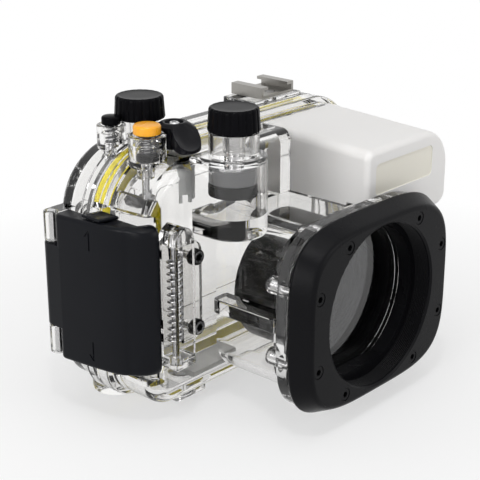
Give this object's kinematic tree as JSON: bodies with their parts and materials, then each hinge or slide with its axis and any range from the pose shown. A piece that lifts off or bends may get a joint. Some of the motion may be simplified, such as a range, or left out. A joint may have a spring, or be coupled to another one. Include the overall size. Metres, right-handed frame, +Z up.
{
  "type": "underwater camera housing",
  "caption": "Clear underwater housing for a compact camera: hinged back door with side latch, round lens port in a squared ring, flash diffuser, dials and push buttons.",
  "frame": {"origin": "middle of the bounding box's footprint, at the height of the feet", "axes": "-Y faces the way the lens looks, +Z is up, +X is the door hinge's side"},
  "size_m": [0.1742, 0.111, 0.126],
  "materials": {
    "clear_plastic": "clear, polished",
    "milky_plastic": "translucent white",
    "black_plastic": "fine satin",
    "black_metal": "black anodised",
    "grey_plastic": "satin",
    "orange_plastic": "gloss",
    "black_rubber": "matte",
    "yellow_rubber": "satin",
    "steel": "stainless",
    "port_glass": "coated"
  },
  "bodies": {
    "housing": {"front_case": "clear_plastic", "port_tube": "clear_plastic", "dial_tower": "clear_plastic", "tripod_boss": "clear_plastic", "main_seal": "yellow_rubber", "port_ring": "black_metal", "port_screw_1": "steel", "port_screw_2": "steel", "port_screw_3": "steel", "port_screw_4": "steel", "port_screw_5": "steel", "port_screw_6": "steel", "port_screw_7": "steel", "port_screw_8": "steel", "port_glass": "port_glass", "port_glass_gasket": "black_rubber", "lens_shroud": "black_plastic", "catch_bracket": "clear_plastic", "catch_rod": "steel", "catch_screw_upper": "steel", "catch_screw_lower": "steel", "catch_spring": "steel", "door_hinge_pin": "steel", "shutter_spring": "steel", "shutter_seal": "black_rubber", "power_spring": "steel", "tripod_insert": "steel", "camera_pad_1": "black_rubber", "camera_pad_2": "black_rubber"},
    "door": {"rear_case": "clear_plastic", "latch_pin": "steel", "accessory_shoe": "steel", "shoe_screw_1": "steel", "shoe_screw_2": "steel", "playback_spring": "steel", "back_spring_1": "steel", "back_spring_2": "steel", "back_spring_3": "steel", "back_spring_4": "steel"},
    "latch": {"latch_lever": "black_plastic"},
    "latch_lock_slide": {"latch_lock": "black_plastic"},
    "front_dial": {"front_dial_knob": "black_plastic", "front_dial_shaft": "steel", "front_dial_hub": "grey_plastic", "front_dial_roller": "black_rubber"},
    "mode_dial": {"mode_knob": "black_plastic", "mode_shaft": "steel", "mode_roller": "black_rubber"},
    "zoom": {"zoom_lever": "black_metal", "zoom_lever_screw": "steel", "zoom_fork": "milky_plastic"},
    "shutter": {"shutter_button": "orange_plastic"},
    "power": {"power_button": "black_plastic"},
    "playback": {"playback_button": "black_plastic"},
    "rear_dial": {"back_dial": "black_plastic"},
    "diffuser_hood": {"diffuser": "milky_plastic"},
    "back_key_1": {"back_button_1": "black_plastic"},
    "back_key_2": {"back_button_2": "black_plastic"},
    "back_key_3": {"back_button_3": "black_plastic"},
    "back_key_4": {"back_button_4": "black_plastic"}
  },
  "joints": [
    {"name": "door_hinge", "type": "hinge", "parent": "housing", "child": "door", "pos_m": [0.0835, 0.02875, 0.046], "axis": [0, 0, -1], "range_deg": [0, 95]},
    {"name": "latch_hinge", "type": "hinge", "parent": "door", "child": "latch", "pos_m": [-0.0835, 0.0439, 0.0545], "axis": [0, 0, -1], "range_deg": [0, 100]},
    {"name": "latch_lock_slide", "type": "slide", "parent": "latch", "child": "latch_lock_slide", "axis": [0, -1, 0], "range_m": [0, 0.003]},
    {"name": "front_dial_turn", "type": "hinge", "parent": "housing", "child": "front_dial", "pos_m": [-0.0371, -0.0095, 0.116], "axis": [0, 0, 1], "continuous": true},
    {"name": "mode_dial_turn", "type": "hinge", "parent": "door", "child": "mode_dial", "pos_m": [-0.0421, 0.0367, 0.116], "axis": [0, 0, 1], "continuous": true},
    {"name": "zoom_turn", "type": "hinge", "parent": "housing", "child": "zoom", "pos_m": [-0.0421, 0.0175, 0.114], "axis": [0, 0, 1], "range_deg": [-14, 18]},
    {"name": "shutter_press", "type": "slide", "parent": "housing", "child": "shutter", "axis": [0, 0, -1], "range_m": [0, 0.003], "stiffness_N_per_m": 250, "springref_m": -0.003, "deforming": ["shutter_spring"]},
    {"name": "power_press", "type": "slide", "parent": "housing", "child": "power", "axis": [0, 0, -1], "range_m": [0, 0.0024], "stiffness_N_per_m": 250, "springref_m": -0.003, "deforming": ["power_spring"]},
    {"name": "playback_press", "type": "slide", "parent": "door", "child": "playback", "axis": [0, 0, -1], "range_m": [0, 0.0024], "stiffness_N_per_m": 250, "springref_m": -0.003, "deforming": ["playback_spring"]},
    {"name": "rear_dial_turn", "type": "hinge", "parent": "door", "child": "rear_dial", "pos_m": [-0.0496, 0.05, 0.0506], "axis": [0, 1, 0], "continuous": true},
    {"name": "diffuser_lift", "type": "slide", "parent": "housing", "child": "diffuser_hood", "axis": [0, 0, 1], "range_m": [0, 0.045]},
    {"name": "back_key_1_press", "type": "slide", "parent": "door", "child": "back_key_1", "axis": [0, -1, 0], "range_m": [0, 0.0022], "stiffness_N_per_m": 250, "springref_m": -0.002, "deforming": ["back_spring_1"]},
    {"name": "back_key_2_press", "type": "slide", "parent": "door", "child": "back_key_2", "axis": [0, -1, 0], "range_m": [0, 0.0022], "stiffness_N_per_m": 250, "springref_m": -0.002, "deforming": ["back_spring_2"]},
    {"name": "back_key_3_press", "type": "slide", "parent": "door", "child": "back_key_3", "axis": [0, -1, 0], "range_m": [0, 0.0022], "stiffness_N_per_m": 250, "springref_m": -0.002, "deforming": ["back_spring_3"]},
    {"name": "back_key_4_press", "type": "slide", "parent": "door", "child": "back_key_4", "axis": [0, -1, 0], "range_m": [0, 0.0022], "stiffness_N_per_m": 250, "springref_m": -0.002, "deforming": ["back_spring_4"]}
  ]
}
